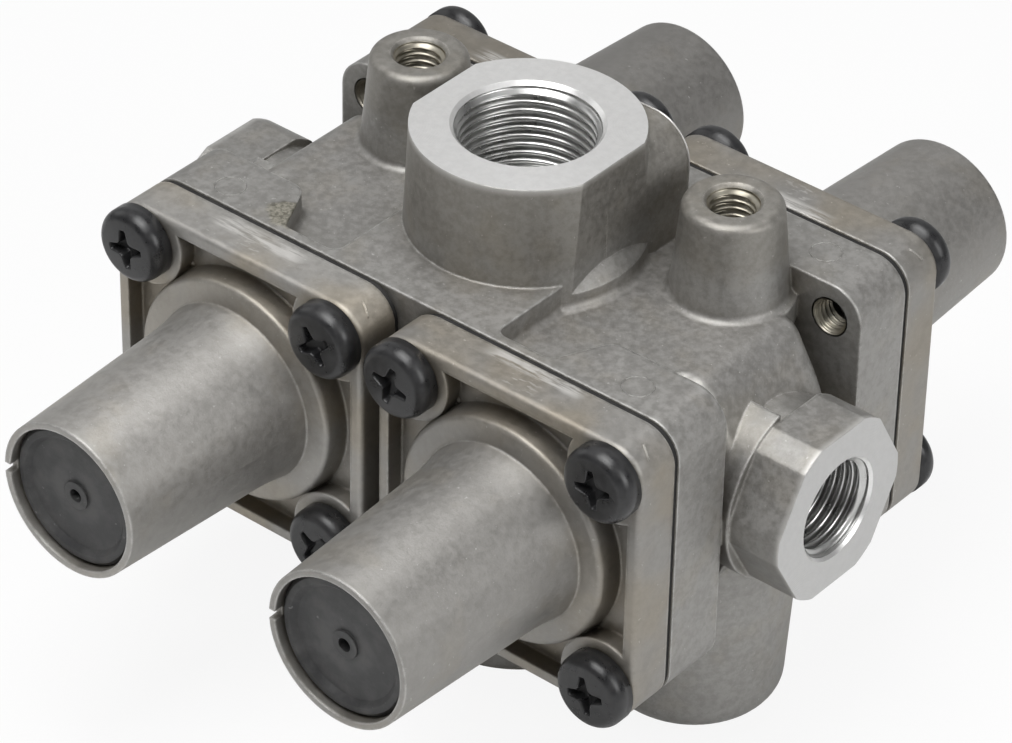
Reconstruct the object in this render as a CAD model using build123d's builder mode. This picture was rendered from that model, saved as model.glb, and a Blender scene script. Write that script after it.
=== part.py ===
from build123d import *
import math
import os

os.makedirs("parts", exist_ok=True)

# Four-circuit protection valve, lying on its bottom boss.
# The origin is on the resting face under port 1, +Z is up, the bonnets point along -Y and +Y.
# Heights of the body whose names end in _top or _drop are measured from the axes of the cells.

# Body casting
axis_height = 48.5
cell_spacing = 51.9
gasket_face = 26.9
flange_size = 48.9
flange_corner = 5.5
body_flange_thickness = 10.9
end_reach = 49.8
end_curve = 26.0
end_curve_run = 4.0
end_curve_top = 14.0
end_slope_run = 3.55
roof_height = 20.0
roof_round = 4.0
roof_foot_round = 1.2
land_half_width = 15.3
lip_thickness = 1.6
lip_end = 25.4
lip_slant = 4.35
lip_corner = 1.8
lip_mouth_round = 3.0
pocket_floor_y = 11.6
pocket_foot = 3.0
center_boss = 36.0
center_boss_round = 1.5
pocket_edge_round = 2.0
tiny = 0.01  # how near to a plane an edge counts as lying in it

# Screws of the bonnets, M6 x 14
screw_pitch = 37.4
screw_thread = 6.0
screw_length = 14.0
screw_head = 12.0
screw_head_height = 4.2
screw_head_round = 1.3
screw_head_bevel = 1.1
screw_drive = 6.4
screw_drive_width = 1.3
screw_drive_depth = 2.2
screw_fit = 0.05
screw_hole_play = 0.3
screw_pocket_radius = 7.6

# Ports: M22 x 1.5 on top, M16 x 1.5 at the ends and below, M8 mounting threads
port_1_thread = 22.0
port_1_depth = 16.0
port_1_chamfer = 0.6
port_1_top = 41.2
port_1_boss = 35.2
port_1_draft = 2.5
port_1_flats = 32.2
port_1_foot = 25.0
port_1_foot_bevel = 3.0
side_thread = 16.0
side_depth = 13.0
side_chamfer = 0.45
side_reach = 59.6
side_hex = 27.0
side_hex_round = 29.0
side_hex_length = 8.9
side_neck = 26.4
side_collar = 30.0
side_collar_y = 3.4
bottom_port_x = 34.4
bottom_port_drop = 45.0
bottom_port_boss = 28.2
bottom_port_draft = 3.0
bottom_port_round = 4.0
mount_thread = 8.0
mount_depth = 13.0
mount_chamfer = 0.5
mount_x = 30.1
mount_y = 10.7
mount_top = 35.6
mount_tip = 15.2
mount_draft = 5.0
mount_edge_round = 1.4
rear_block_length = 18.0
rear_block_start = 1.3
rear_block_width = 32.4
rear_block_top = 38.8
rear_block_corner = 6.6

# Air ways inside the body
chamber_radius = 16.4
chamber_depth = 6.5
seat_outer_radius = 6.6
seat_bore_radius = 4.6
seat_drop = 0.5
supply_radius = 8.0
supply_drop = 12.0
gallery_radius = 5.0
gallery_x = 11.0
delivery_radius = 6.0
delivery_wall = 2.0
angled_radius = 3.5

# Diaphragm
diaphragm_thickness = 1.0
diaphragm_inset = 0.35
roll_radius = 2.1
roll_center = 12.6
closing_pad_radius = 8.4

# Bonnet, measured from its mounting face
flange_thickness = 7.5
flange_edge = 0.9
bonnet_length = 44.1
rim_radius = 12.7
neck_radius = 14.0
neck_height = 15.0
crease_radius = 14.8
crease_height = 8.7
collar_radius = 18.6
collar_height = 8.5
collar_round = 0.8
collar_foot_radius = 19.1
recess_wall = 2.2
recess_floor = 4.5
screw_boss_radius = 7.6
cavity_radius = 16.2
cavity_height = 6.6
spring_bore_radius = 10.9
plug_seat_depth = 4.6
plug_wall = 1.05
vent_notch = 1.6

# Inside a bonnet
plate_fit = 0.08
plate_floor = 2.2
plate_rim_height = 4.2
plate_rim_wall = 2.0
plate_chamfer = 0.8
spring_wire = 2.6
spring_mean_radius = 8.1
spring_turns = 6.5
spring_grind = 0.4
spigot_height = 1.8
spigot_play = 0.45
adjuster_height = 4.5
adjuster_top = 38.6
adjuster_socket = 8.0
adjuster_chamfer = 0.6
adjuster_fit = 0.05
plug_thickness = 3.4
plug_fit = 0.05
plug_bevel = 0.7
plug_dish_radius = 9.9
plug_dish_depth = 0.8
plug_ring_radius = 2.3
breather_radius = 1.1

# Derived sizes
half_spacing = cell_spacing / 2
half_flange = flange_size / 2
half_pitch = screw_pitch / 2
body_length = cell_spacing + flange_size
core_depth = gasket_face - body_flange_thickness
pocket_start = half_spacing + half_pitch - screw_pocket_radius
pocket_center_x = half_spacing + half_pitch - screw_pocket_radius + half_flange
pocket_center_z = pocket_foot + half_flange
bottom_port_base = bottom_port_boss / 2 + bottom_port_drop * math.tan(math.radians(bottom_port_draft))
port_1_base = port_1_boss / 2 + port_1_top * math.tan(math.radians(port_1_draft))
mount_base = mount_tip / 2 + (mount_top - roof_height) * math.tan(math.radians(mount_draft))
plate_radius = cavity_radius - plate_fit
spring_top = adjuster_top - adjuster_height
spigot_radius = spring_mean_radius - spring_wire / 2 - spigot_play
plug_radius = rim_radius - plug_wall - plug_fit
plug_base = bonnet_length - plug_seat_depth
plug_top = plug_base + plug_thickness

# Side of each cell: right or left of port 1, and front or rear of it
cells = {
    "front_left": (-1, -1),
    "front_right": (1, -1),
    "rear_left": (-1, 1),
    "rear_right": (1, 1),
}


def cell_plane(cell, height=0.0):
    """Plane across the axis of a cell, that far out from the gasket face, with its normal outwards."""
    across, along = cells[cell]
    return Plane(
        origin=(across * half_spacing, along * (gasket_face + height), axis_height),
        x_dir=(1, 0, 0),
        z_dir=(0, along, 0),
    )


# What the two flats take off the boss of port 1, down to a bevel that runs round its foot
with BuildPart() as flats_cut:
    with BuildSketch(Plane.XY.offset(axis_height + port_1_foot - port_1_foot_bevel)):
        with GridLocations(port_1_flats + port_1_foot_bevel, 0, 2, 1):
            Rectangle(port_1_foot_bevel, 2 * core_depth - port_1_foot_bevel)
    extrude(amount=port_1_top)
    with Locations((0, 0, axis_height + port_1_foot - port_1_foot_bevel)):
        Cone(
            port_1_flats / 2 + port_1_foot_bevel,
            port_1_flats / 2 - port_1_foot_bevel,
            2 * port_1_foot_bevel,
            align=(Align.CENTER, Align.CENTER, Align.MIN),
            mode=Mode.SUBTRACT,
        )

# Body: two flanges joined by a core whose ends curve down to the side ports
section = Plane(origin=(0, 0, axis_height), x_dir=(1, 0, 0), z_dir=(0, -1, 0))
with BuildPart() as valve_body:
    with BuildSketch(section):
        with BuildLine():
            curve = RadiusArc((end_reach, 0), (end_reach - end_curve_run, end_curve_top), -end_curve)
            FilletPolyline(
                curve @ 1,
                (end_reach - end_curve_run - end_slope_run, roof_height),
                (0, roof_height),
                radius=roof_round,
            )
            mirror(about=Plane.XZ)
            mirror(about=Plane.YZ)
        make_face()
    extrude(amount=core_depth, both=True)
    # pockets behind the outer screws, open to the top, the bottom and the ends
    for along in (-1, 1):
        with BuildSketch(section.offset(along * core_depth)):
            with GridLocations(2 * pocket_center_x, 2 * pocket_center_z, 2, 2):
                RectangleRounded(flange_size, flange_size, screw_pocket_radius)
        extrude(amount=-along * (core_depth - pocket_floor_y), mode=Mode.SUBTRACT)
    # higher land between the cells, in front of and behind port 1
    with BuildSketch(section):
        Rectangle(2 * land_half_width, flange_size)
    extrude(amount=core_depth, both=True)
    # flanges, cut back to a thin lip beside the land and slanting out to their full thickness
    for along in (-1, 1):
        with BuildSketch(section.offset(along * core_depth)):
            RectangleRounded(body_length, flange_size, flange_corner)
        extrude(amount=along * body_flange_thickness)
    for side in (-1, 1):
        with BuildSketch(Plane.XY.offset(axis_height + side * roof_height)):
            with BuildLine():
                FilletPolyline(
                    (land_half_width, core_depth - lip_corner),
                    (land_half_width, gasket_face - lip_thickness),
                    (lip_end, gasket_face - lip_thickness),
                    (lip_end + lip_slant, core_depth),
                    (lip_end + lip_slant + 2 * lip_mouth_round, core_depth),
                    (lip_end + lip_slant + 2 * lip_mouth_round, core_depth - lip_corner),
                    radius=[0, lip_corner, lip_corner, lip_mouth_round, 0, 0],
                    close=True,
                )
            make_face()
            mirror(about=Plane.XZ)
            mirror(about=Plane.YZ)
        extrude(amount=side * (half_flange - roof_height), mode=Mode.SUBTRACT)

    # bosses of the two lower ports and the plain boss that the valve rests on
    with Locations(Plane.XY.offset(axis_height - bottom_port_drop)):
        with GridLocations(2 * bottom_port_x, 0, 2, 1):
            Cone(
                bottom_port_boss / 2,
                bottom_port_base,
                bottom_port_drop,
                align=(Align.CENTER, Align.CENTER, Align.MIN),
            )
    with BuildSketch():
        Circle(center_boss / 2)
    extrude(amount=axis_height)
    fillet(valve_body.faces().sort_by(Axis.Z)[0].edges(), radius=center_boss_round)
    fillet(valve_body.faces().sort_by(Axis.Z)[1:3].edges(), radius=bottom_port_round)

    # port 1: drafted round boss with two flats, and the block behind it with rounded shoulders
    with Locations((0, 0, axis_height)):
        Cone(port_1_base, port_1_boss / 2, port_1_top, align=(Align.CENTER, Align.CENTER, Align.MIN))
    add(flats_cut.part, mode=Mode.SUBTRACT)
    with BuildSketch(section.offset(rear_block_start)) as rear_block:
        with Locations((0, rear_block_top / 2)):
            Rectangle(rear_block_width, rear_block_top)
        fillet(rear_block.vertices().group_by(Axis.Y)[-1], radius=rear_block_corner)
    extrude(amount=-rear_block_length - rear_block_start)
    # rounded feet where the bosses, the land and the front flange meet the roof
    fillet(
        valve_body.edges().filter_by(
            lambda edge: abs(edge.center().Z - axis_height - roof_height) < tiny
            and abs(edge.center().X) < pocket_start
            and edge.center().Y < 0
        ),
        radius=roof_foot_round,
    )
    # rounded edges where the upper pockets meet the curved ends of the core
    screw_corner = half_spacing + half_pitch + screw_pocket_radius
    fillet(
        valve_body.edges().filter_by(
            lambda edge: abs((edge @ 0).Y) > pocket_floor_y - tiny
            and abs((edge @ 0).Y) < pocket_floor_y + tiny
            and abs((edge @ 0.5).Y) > pocket_floor_y - tiny
            and abs((edge @ 0.5).X) + abs((edge @ 0.5).Z - axis_height) > screw_corner
            and (edge @ 0.5).Z > axis_height
        ),
        radius=pocket_edge_round,
    )
    # mounting bosses: drafted, with a flared foot
    for across in (-1, 1):
        with BuildSketch(
            Plane(origin=(across * mount_x, mount_y, axis_height), x_dir=(1, 0, 0), z_dir=(0, -1, 0))
        ):
            with BuildLine():
                foot = RadiusArc(
                    (mount_base + roof_foot_round, roof_height),
                    (mount_base, roof_height + roof_foot_round),
                    roof_foot_round,
                )
                FilletPolyline(foot @ 1, (mount_tip / 2, mount_top), (0, mount_top), radius=mount_edge_round)
                Polyline(
                    (0, mount_top),
                    (0, roof_height - roof_round),
                    (mount_base + roof_foot_round, roof_height - roof_round),
                    foot @ 0,
                )
            make_face()
        revolve(axis=Axis((across * mount_x, mount_y, 0), (0, 0, 1)))

    # side ports: neck, collar on its front side, and hexagon with turned corners
    for across in (-1, 1):
        port_axis = Plane(origin=(0, 0, axis_height), x_dir=(0, 1, 0), z_dir=(across, 0, 0))
        with BuildSketch(port_axis.offset(half_spacing)):
            Circle(side_neck / 2)
        extrude(amount=side_reach - side_hex_length - half_spacing)
        with BuildSketch(port_axis.offset(half_spacing + half_pitch - screw_pocket_radius)):
            Circle(side_collar / 2)
            with Locations((side_collar / 2 - side_collar_y, 0)):
                Rectangle(side_collar, side_collar, mode=Mode.SUBTRACT)
        extrude(amount=side_reach - side_hex_length - half_spacing - half_pitch + screw_pocket_radius)
        with BuildSketch(port_axis.offset(side_reach - side_hex_length)):
            RegularPolygon(side_hex / 2, 6, major_radius=False)
            Circle(side_hex_round / 2, mode=Mode.INTERSECT)
        extrude(amount=side_hex_length)

    # threaded bores, drawn at the thread's outer diameter
    with Locations(Plane.XY.offset(axis_height + port_1_top)):
        CounterSinkHole(port_1_thread / 2, port_1_thread / 2 + port_1_chamfer, port_1_depth, 90)
    with Locations(Plane.XY.offset(axis_height + mount_top)):
        with Locations((-mount_x, mount_y), (mount_x, mount_y)):
            CounterSinkHole(mount_thread / 2, mount_thread / 2 + mount_chamfer, mount_depth, 90)
    for across in (-1, 1):
        with Locations(
            Plane(origin=(across * side_reach, 0, axis_height), x_dir=(0, 1, 0), z_dir=(across, 0, 0)),
            Plane(
                origin=(across * bottom_port_x, 0, axis_height - bottom_port_drop),
                x_dir=(1, 0, 0),
                z_dir=(0, 0, -1),
            ),
        ):
            CounterSinkHole(side_thread / 2, side_thread / 2 + side_chamfer, side_depth, 90)
    for cell in cells:
        with Locations(cell_plane(cell)):
            with GridLocations(screw_pitch, screw_pitch, 2, 2):
                Hole(screw_thread / 2, body_flange_thickness)

    # diaphragm chambers, seats and supply ways
    for cell in cells:
        with BuildSketch(cell_plane(cell)):
            Circle(chamber_radius)
            Circle(seat_outer_radius, mode=Mode.SUBTRACT)
        extrude(amount=-chamber_depth, mode=Mode.SUBTRACT)
        with BuildSketch(cell_plane(cell)):
            Circle(seat_outer_radius)
        extrude(amount=-seat_drop, mode=Mode.SUBTRACT)
    with Locations(Plane.XY.offset(axis_height + port_1_top)):
        Hole(supply_radius, port_1_top + supply_drop)
    with BuildSketch(section):
        with GridLocations(2 * gallery_x, 0, 2, 1):
            Circle(gallery_radius)
    extrude(amount=gasket_face - chamber_depth, both=True, mode=Mode.SUBTRACT)

    # delivery ways: front cells to the side ports, rear cells down to the lower ports
    lower_bore_end = axis_height - bottom_port_drop + side_depth
    for across in (-1, 1):
        with Locations(Plane(origin=(across * side_reach, 0, axis_height), z_dir=(across, 0, 0))):
            Hole(delivery_radius, side_reach - half_spacing + delivery_radius)
        with Locations(cell_plane("front_left" if across < 0 else "front_right")):
            Hole(seat_bore_radius, gasket_face)
        with Locations(cell_plane("rear_left" if across < 0 else "rear_right")):
            Hole(seat_bore_radius, gasket_face - delivery_radius - delivery_wall)
        slant = (
            across * (half_spacing - bottom_port_x),
            delivery_radius + delivery_wall + seat_bore_radius,
            bottom_port_drop - side_depth,
        )
        with BuildSketch(Plane(origin=(across * bottom_port_x, 0, lower_bore_end), z_dir=slant)):
            Circle(angled_radius)
        extrude(until=Until.NEXT, mode=Mode.SUBTRACT)

valve_body.part.label = "valve_body"
export_step(valve_body.part, "parts/valve_body.step")

# Bonnet: square flange recessed between its rim and the screw seats, collar and long spring tube
with BuildPart() as bonnet_form:
    with BuildSketch():
        RectangleRounded(flange_size, flange_size, flange_corner)
    extrude(amount=flange_thickness)
    fillet(bonnet_form.faces().sort_by(Axis.Z)[-1].edges(), radius=flange_edge)
    # recess in the flange, from the rim wall to the round seats of the screws
    with BuildSketch(Plane.XY.offset(recess_floor)):
        Rectangle(flange_size - 2 * recess_wall, flange_size - 2 * recess_wall)
        with GridLocations(screw_pitch, screw_pitch, 2, 2):
            Circle(screw_boss_radius, mode=Mode.SUBTRACT)
        with GridLocations(flange_size, flange_size, 2, 2):
            Rectangle(flange_size - screw_pitch, flange_size - screw_pitch, mode=Mode.SUBTRACT)
    extrude(amount=flange_thickness, mode=Mode.SUBTRACT)
    # collar, bell foot and tube, with the cavity and the spring bore inside
    with BuildSketch(Plane.XZ):
        with BuildLine():
            tube = Line((rim_radius, bonnet_length), (neck_radius, neck_height))
            bell = TangentArc(tube @ 1, (crease_radius, crease_height), tangent=tube % 1)
            collar = FilletPolyline(
                bell @ 1,
                (collar_radius, collar_height),
                (collar_foot_radius, recess_floor),
                radius=collar_round,
            )
            Polyline(collar @ 1, (collar_foot_radius, 0), (0, 0), (0, bonnet_length), tube @ 0)
        make_face()
    revolve(axis=Axis.Z)
    with BuildSketch():
        Circle(cavity_radius)
    extrude(amount=cavity_height, mode=Mode.SUBTRACT)
    with BuildSketch(Plane.XY.offset(cavity_height)):
        Circle(spring_bore_radius)
    extrude(amount=bonnet_length, mode=Mode.SUBTRACT)
    with BuildSketch(Plane.XY.offset(plug_base)):
        Circle(rim_radius - plug_wall)
    extrude(amount=bonnet_length, mode=Mode.SUBTRACT)
    with Locations(Plane.XY.offset(flange_thickness)):
        with GridLocations(screw_pitch, screw_pitch, 2, 2):
            Hole(screw_thread / 2 + screw_hole_play, flange_thickness)
    # vent notch in the rim
    with Locations((-rim_radius, 0, bonnet_length)):
        Box(4 * plug_wall, vent_notch, 2 * vent_notch, mode=Mode.SUBTRACT)

# Dust plug: shallow dish with a bevelled rim and a raised ring round the breather hole
with BuildPart() as plug_form:
    with BuildSketch(Plane.XZ):
        with BuildLine():
            Polyline(
                (breather_radius, plug_base),
                (plug_radius, plug_base),
                (plug_radius, plug_top - plug_bevel),
                (plug_radius - plug_bevel, plug_top),
                (plug_dish_radius, plug_top),
                (plug_dish_radius - plug_dish_depth, plug_top - plug_dish_depth),
                (plug_ring_radius, plug_top - plug_dish_depth),
                (plug_ring_radius, plug_top - plug_dish_depth / 2),
                (breather_radius, plug_top - plug_dish_depth / 2),
                close=True,
            )
        make_face()
    revolve(axis=Axis.Z)

# Adjusting screw: disc with a hexagon socket and a spigot that centres the spring
with BuildPart() as adjuster_form:
    with BuildSketch(Plane.XY.offset(spring_top)):
        Circle(spring_bore_radius - adjuster_fit)
    extrude(amount=adjuster_height)
    chamfer(adjuster_form.edges().group_by(Axis.Z)[-1], length=adjuster_chamfer)
    with BuildSketch(Plane.XY.offset(spring_top)):
        Circle(spigot_radius)
    extrude(amount=-spigot_height)
    with BuildSketch(Plane.XY.offset(adjuster_top)):
        RegularPolygon(adjuster_socket / 2, 6, major_radius=False)
    extrude(amount=-adjuster_height - spigot_height, mode=Mode.SUBTRACT)

# Main spring: round wire coil with its ends ground flat
with BuildPart() as spring_form:
    with BuildLine(Plane.XY.offset(plate_floor + spring_grind)):
        coil = Helix(
            pitch=(spring_top - plate_floor - 2 * spring_grind) / spring_turns,
            height=spring_top - plate_floor - 2 * spring_grind,
            radius=spring_mean_radius,
        )
    with BuildSketch(Plane(origin=coil @ 0, z_dir=coil % 0)):
        RegularPolygon(spring_wire / 2, 6)
    sweep(is_frenet=True)
    with BuildSketch(Plane.XY.offset(plate_floor)):
        Circle(spring_bore_radius)
    extrude(amount=spring_top - plate_floor, mode=Mode.INTERSECT)

# Spring plate: cup that carries the spring and slides in the cavity of the bonnet
with BuildPart() as plate_form:
    with BuildSketch(Plane.XZ):
        with BuildLine():
            Polyline(
                (0, 0),
                (plate_radius - plate_chamfer, 0),
                (plate_radius, plate_chamfer),
                (plate_radius, plate_rim_height),
                (plate_radius - plate_rim_wall, plate_rim_height),
                (plate_radius - plate_rim_wall, plate_floor),
                (spigot_radius, plate_floor),
                (spigot_radius - plate_chamfer, plate_floor + spigot_height),
                (0, plate_floor + spigot_height),
                close=True,
            )
        make_face()
    revolve(axis=Axis.Z)

# Diaphragm, measured from the gasket face: clamped square rim, rolled ring and closing pad
with BuildPart() as diaphragm_form:
    with BuildSketch():
        RectangleRounded(
            flange_size - 2 * diaphragm_inset,
            flange_size - 2 * diaphragm_inset,
            flange_corner - diaphragm_inset,
        )
        Circle(roll_center, mode=Mode.SUBTRACT)
        with GridLocations(screw_pitch, screw_pitch, 2, 2):
            Circle(screw_thread / 2 + screw_hole_play, mode=Mode.SUBTRACT)
    extrude(amount=diaphragm_thickness)
    with BuildSketch(Plane.XZ):
        with BuildLine():
            Polyline(
                (roll_center - roll_radius, 0),
                (closing_pad_radius, 0),
                (closing_pad_radius - seat_drop, -seat_drop),
                (0, -seat_drop),
                (0, diaphragm_thickness),
                (roll_center, diaphragm_thickness),
                (roll_center + roll_radius, diaphragm_thickness),
                (roll_center + roll_radius, 0),
            )
            RadiusArc((roll_center + roll_radius, 0), (roll_center - roll_radius, 0), roll_radius)
        make_face()
    revolve(axis=Axis.Z)

# Screws of one bonnet: four M6 pan-head screws with a cross recess
with BuildPart() as screw_form:
    with BuildSketch():
        Circle(screw_head / 2)
    extrude(amount=screw_head_height)
    chamfer(screw_form.edges().group_by(Axis.Z)[-1], length=screw_head_round, length2=screw_head_bevel)
    with BuildSketch():
        Circle(screw_thread / 2 - screw_fit)
    extrude(amount=-screw_length)
    with BuildSketch(Plane.XY.offset(screw_head_height)):
        Rectangle(screw_drive, screw_drive_width)
        Rectangle(screw_drive_width, screw_drive)
    extrude(amount=-screw_drive_depth, mode=Mode.SUBTRACT)

# The same pieces in each of the four cells
for cell in cells:
    with BuildPart(cell_plane(cell, diaphragm_thickness)) as bonnet:
        add(bonnet_form.part)
    with BuildPart(cell_plane(cell, diaphragm_thickness)) as dust_plug:
        add(plug_form.part)
    with BuildPart(cell_plane(cell, diaphragm_thickness)) as adjusting_screw:
        add(adjuster_form.part)
    with BuildPart(cell_plane(cell, diaphragm_thickness)) as main_spring:
        add(spring_form.part)
    with BuildPart(cell_plane(cell, diaphragm_thickness)) as spring_plate:
        add(plate_form.part)
    with BuildPart(cell_plane(cell)) as diaphragm:
        add(diaphragm_form.part)
    with BuildPart(cell_plane(cell, diaphragm_thickness + flange_thickness)) as screws:
        with GridLocations(screw_pitch, screw_pitch, 2, 2):
            add(screw_form.part)
    pieces = {
        "bonnet": bonnet,
        "dust_plug": dust_plug,
        "adjusting_screw": adjusting_screw,
        "main_spring": main_spring,
        "spring_plate": spring_plate,
        "diaphragm": diaphragm,
        "screws": screws,
    }
    for name, piece in pieces.items():
        piece.part.label = f"{cell}_{name}"
        export_step(piece.part, f"parts/{cell}_{name}.step")
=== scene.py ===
import math

import bmesh
import bpy
import numpy as np
from mathutils import Matrix, Vector


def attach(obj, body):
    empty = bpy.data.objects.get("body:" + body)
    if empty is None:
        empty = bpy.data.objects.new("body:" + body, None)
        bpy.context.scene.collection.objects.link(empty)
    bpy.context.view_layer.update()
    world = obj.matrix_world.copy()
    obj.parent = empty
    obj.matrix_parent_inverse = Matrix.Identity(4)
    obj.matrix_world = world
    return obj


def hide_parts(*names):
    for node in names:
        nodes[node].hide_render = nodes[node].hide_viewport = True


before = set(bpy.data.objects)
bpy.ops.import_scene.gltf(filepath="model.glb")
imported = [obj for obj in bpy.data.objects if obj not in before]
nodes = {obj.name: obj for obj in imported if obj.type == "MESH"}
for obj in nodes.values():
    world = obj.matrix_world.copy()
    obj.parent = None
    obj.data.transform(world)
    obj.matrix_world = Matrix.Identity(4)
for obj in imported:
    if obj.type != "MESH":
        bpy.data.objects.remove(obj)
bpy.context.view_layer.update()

# Cast body
# One aluminium die casting with all the ports, blasted to an even dull grey.
# The faces of port 1 and of the two end ports are turned bright after casting.
MM = 0.001
AXIS_HEIGHT = 48.5 * MM
PORT_1_TOP = 89.7 * MM
PORT_1_BORE = 12.2 * MM
SIDE_FACE = 59.6 * MM
SIDE_BORE = 8.9 * MM
FLANGE_TOP = AXIS_HEIGHT + 24.45 * MM
SUPPLY_BORE_FOOT, END_BORE_FOOT = 60.0 * MM, 44.0 * MM
FACE_SKIN, TOOL_FEED = 0.02 * MM, 0.22 * MM
ROUGH_SPOT = (-26.6 * MM, -22.6 * MM)


def repaint(name, material):
    """Gives a CAD piece this material in place of its plain one."""
    nodes[name].data.materials.clear()
    nodes[name].data.materials.append(material)


class Finish:
    """Node tree of one material, with short calls for the nodes that its colour and relief need."""

    def __init__(self, name):
        self.material = bpy.data.materials.new(name)
        self.material.use_nodes = True
        self.tree = self.material.node_tree
        self.shader = self.tree.nodes["Principled BSDF"]
        self.place = self.tree.nodes.new("ShaderNodeTexCoord").outputs["Object"]

    def link(self, source, target):
        self.tree.links.new(source, target)

    def parts(self):
        """The three coordinates of a point of the piece, in metres."""
        split = self.tree.nodes.new("ShaderNodeSeparateXYZ")
        self.link(self.place, split.inputs[0])
        return split.outputs

    def noise(self, scale, detail=3.0, roughness=0.55, stretch=None, turn=0.0):
        """Cloud noise over the piece, scale in cells a metre, drawn out along an axis by stretch."""
        texture = self.tree.nodes.new("ShaderNodeTexNoise")
        texture.inputs["Scale"].default_value = scale
        texture.inputs["Detail"].default_value = detail
        texture.inputs["Roughness"].default_value = roughness
        source = self.place
        if stretch:
            mapping = self.tree.nodes.new("ShaderNodeMapping")
            mapping.inputs["Scale"].default_value = stretch
            mapping.inputs["Rotation"].default_value = (0.0, 0.0, turn)
            self.link(self.place, mapping.inputs["Vector"])
            source = mapping.outputs["Vector"]
        self.link(source, texture.inputs["Vector"])
        return texture.outputs["Fac"]

    def math(self, operation, a, b=0.0, c=0.0, clamp=False):
        node = self.tree.nodes.new("ShaderNodeMath")
        node.operation = operation
        node.use_clamp = clamp
        for socket, value in zip(node.inputs, (a, b, c)):
            if isinstance(value, (int, float)):
                socket.default_value = value
            else:
                self.link(value, socket)
        return node.outputs[0]

    def span(self, value, low, high, to_low=0.0, to_high=1.0):
        """Value carried from the span low..high to the span to_low..to_high, and held at its ends."""
        node = self.tree.nodes.new("ShaderNodeMapRange")
        node.interpolation_type = "SMOOTHSTEP"
        for key, number in (("From Min", low), ("From Max", high), ("To Min", to_low), ("To Max", to_high)):
            node.inputs[key].default_value = number
        self.link(value, node.inputs["Value"])
        return node.outputs["Result"]

    def band(self, value, middle, half_width, fade):
        """1 where the value is within half_width of the middle, fading to 0 over the width of fade."""
        away = self.math("ABSOLUTE", self.math("SUBTRACT", value, middle))
        return self.span(away, half_width, half_width + fade, 1.0, 0.0)

    def reach(self, a, b):
        """Distance whose two components are a and b."""
        return self.math("SQRT", self.math("ADD", self.math("POWER", a, 2.0), self.math("POWER", b, 2.0)))

    def colours(self, factor, first, second, blend="MIX"):
        """Mix of two colours, each a plain linear triple or another node's output."""
        node = self.tree.nodes.new("ShaderNodeMix")
        node.data_type = "RGBA"
        node.blend_type = blend
        if isinstance(factor, (int, float)):
            node.inputs[0].default_value = factor
        else:
            self.link(factor, node.inputs[0])
        for socket, value in ((node.inputs[6], first), (node.inputs[7], second)):
            if isinstance(value, tuple):
                socket.default_value = (*value, 1.0)
            else:
                self.link(value, socket)
        return node.outputs[2]

    def soft_edges(self, radius):
        """Normal that rounds every corner by the radius, and how far it turns from the true one."""
        bevel = self.tree.nodes.new("ShaderNodeBevel")
        bevel.samples = 6
        bevel.inputs["Radius"].default_value = radius
        geometry = self.tree.nodes.new("ShaderNodeNewGeometry")
        dot = self.tree.nodes.new("ShaderNodeVectorMath")
        dot.operation = "DOT_PRODUCT"
        self.link(bevel.outputs[0], dot.inputs[0])
        self.link(geometry.outputs["Normal"], dot.inputs[1])
        turn = self.math("SUBTRACT", 1.0, dot.outputs["Value"], clamp=True)
        return bevel.outputs[0], turn

    def relief(self, height, distance, normal=None, strength=1.0):
        bump = self.tree.nodes.new("ShaderNodeBump")
        bump.inputs["Strength"].default_value = strength
        bump.inputs["Distance"].default_value = distance
        self.link(height, bump.inputs["Height"])
        if normal is not None:
            self.link(normal, bump.inputs["Normal"])
        return bump.outputs["Normal"]


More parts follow.
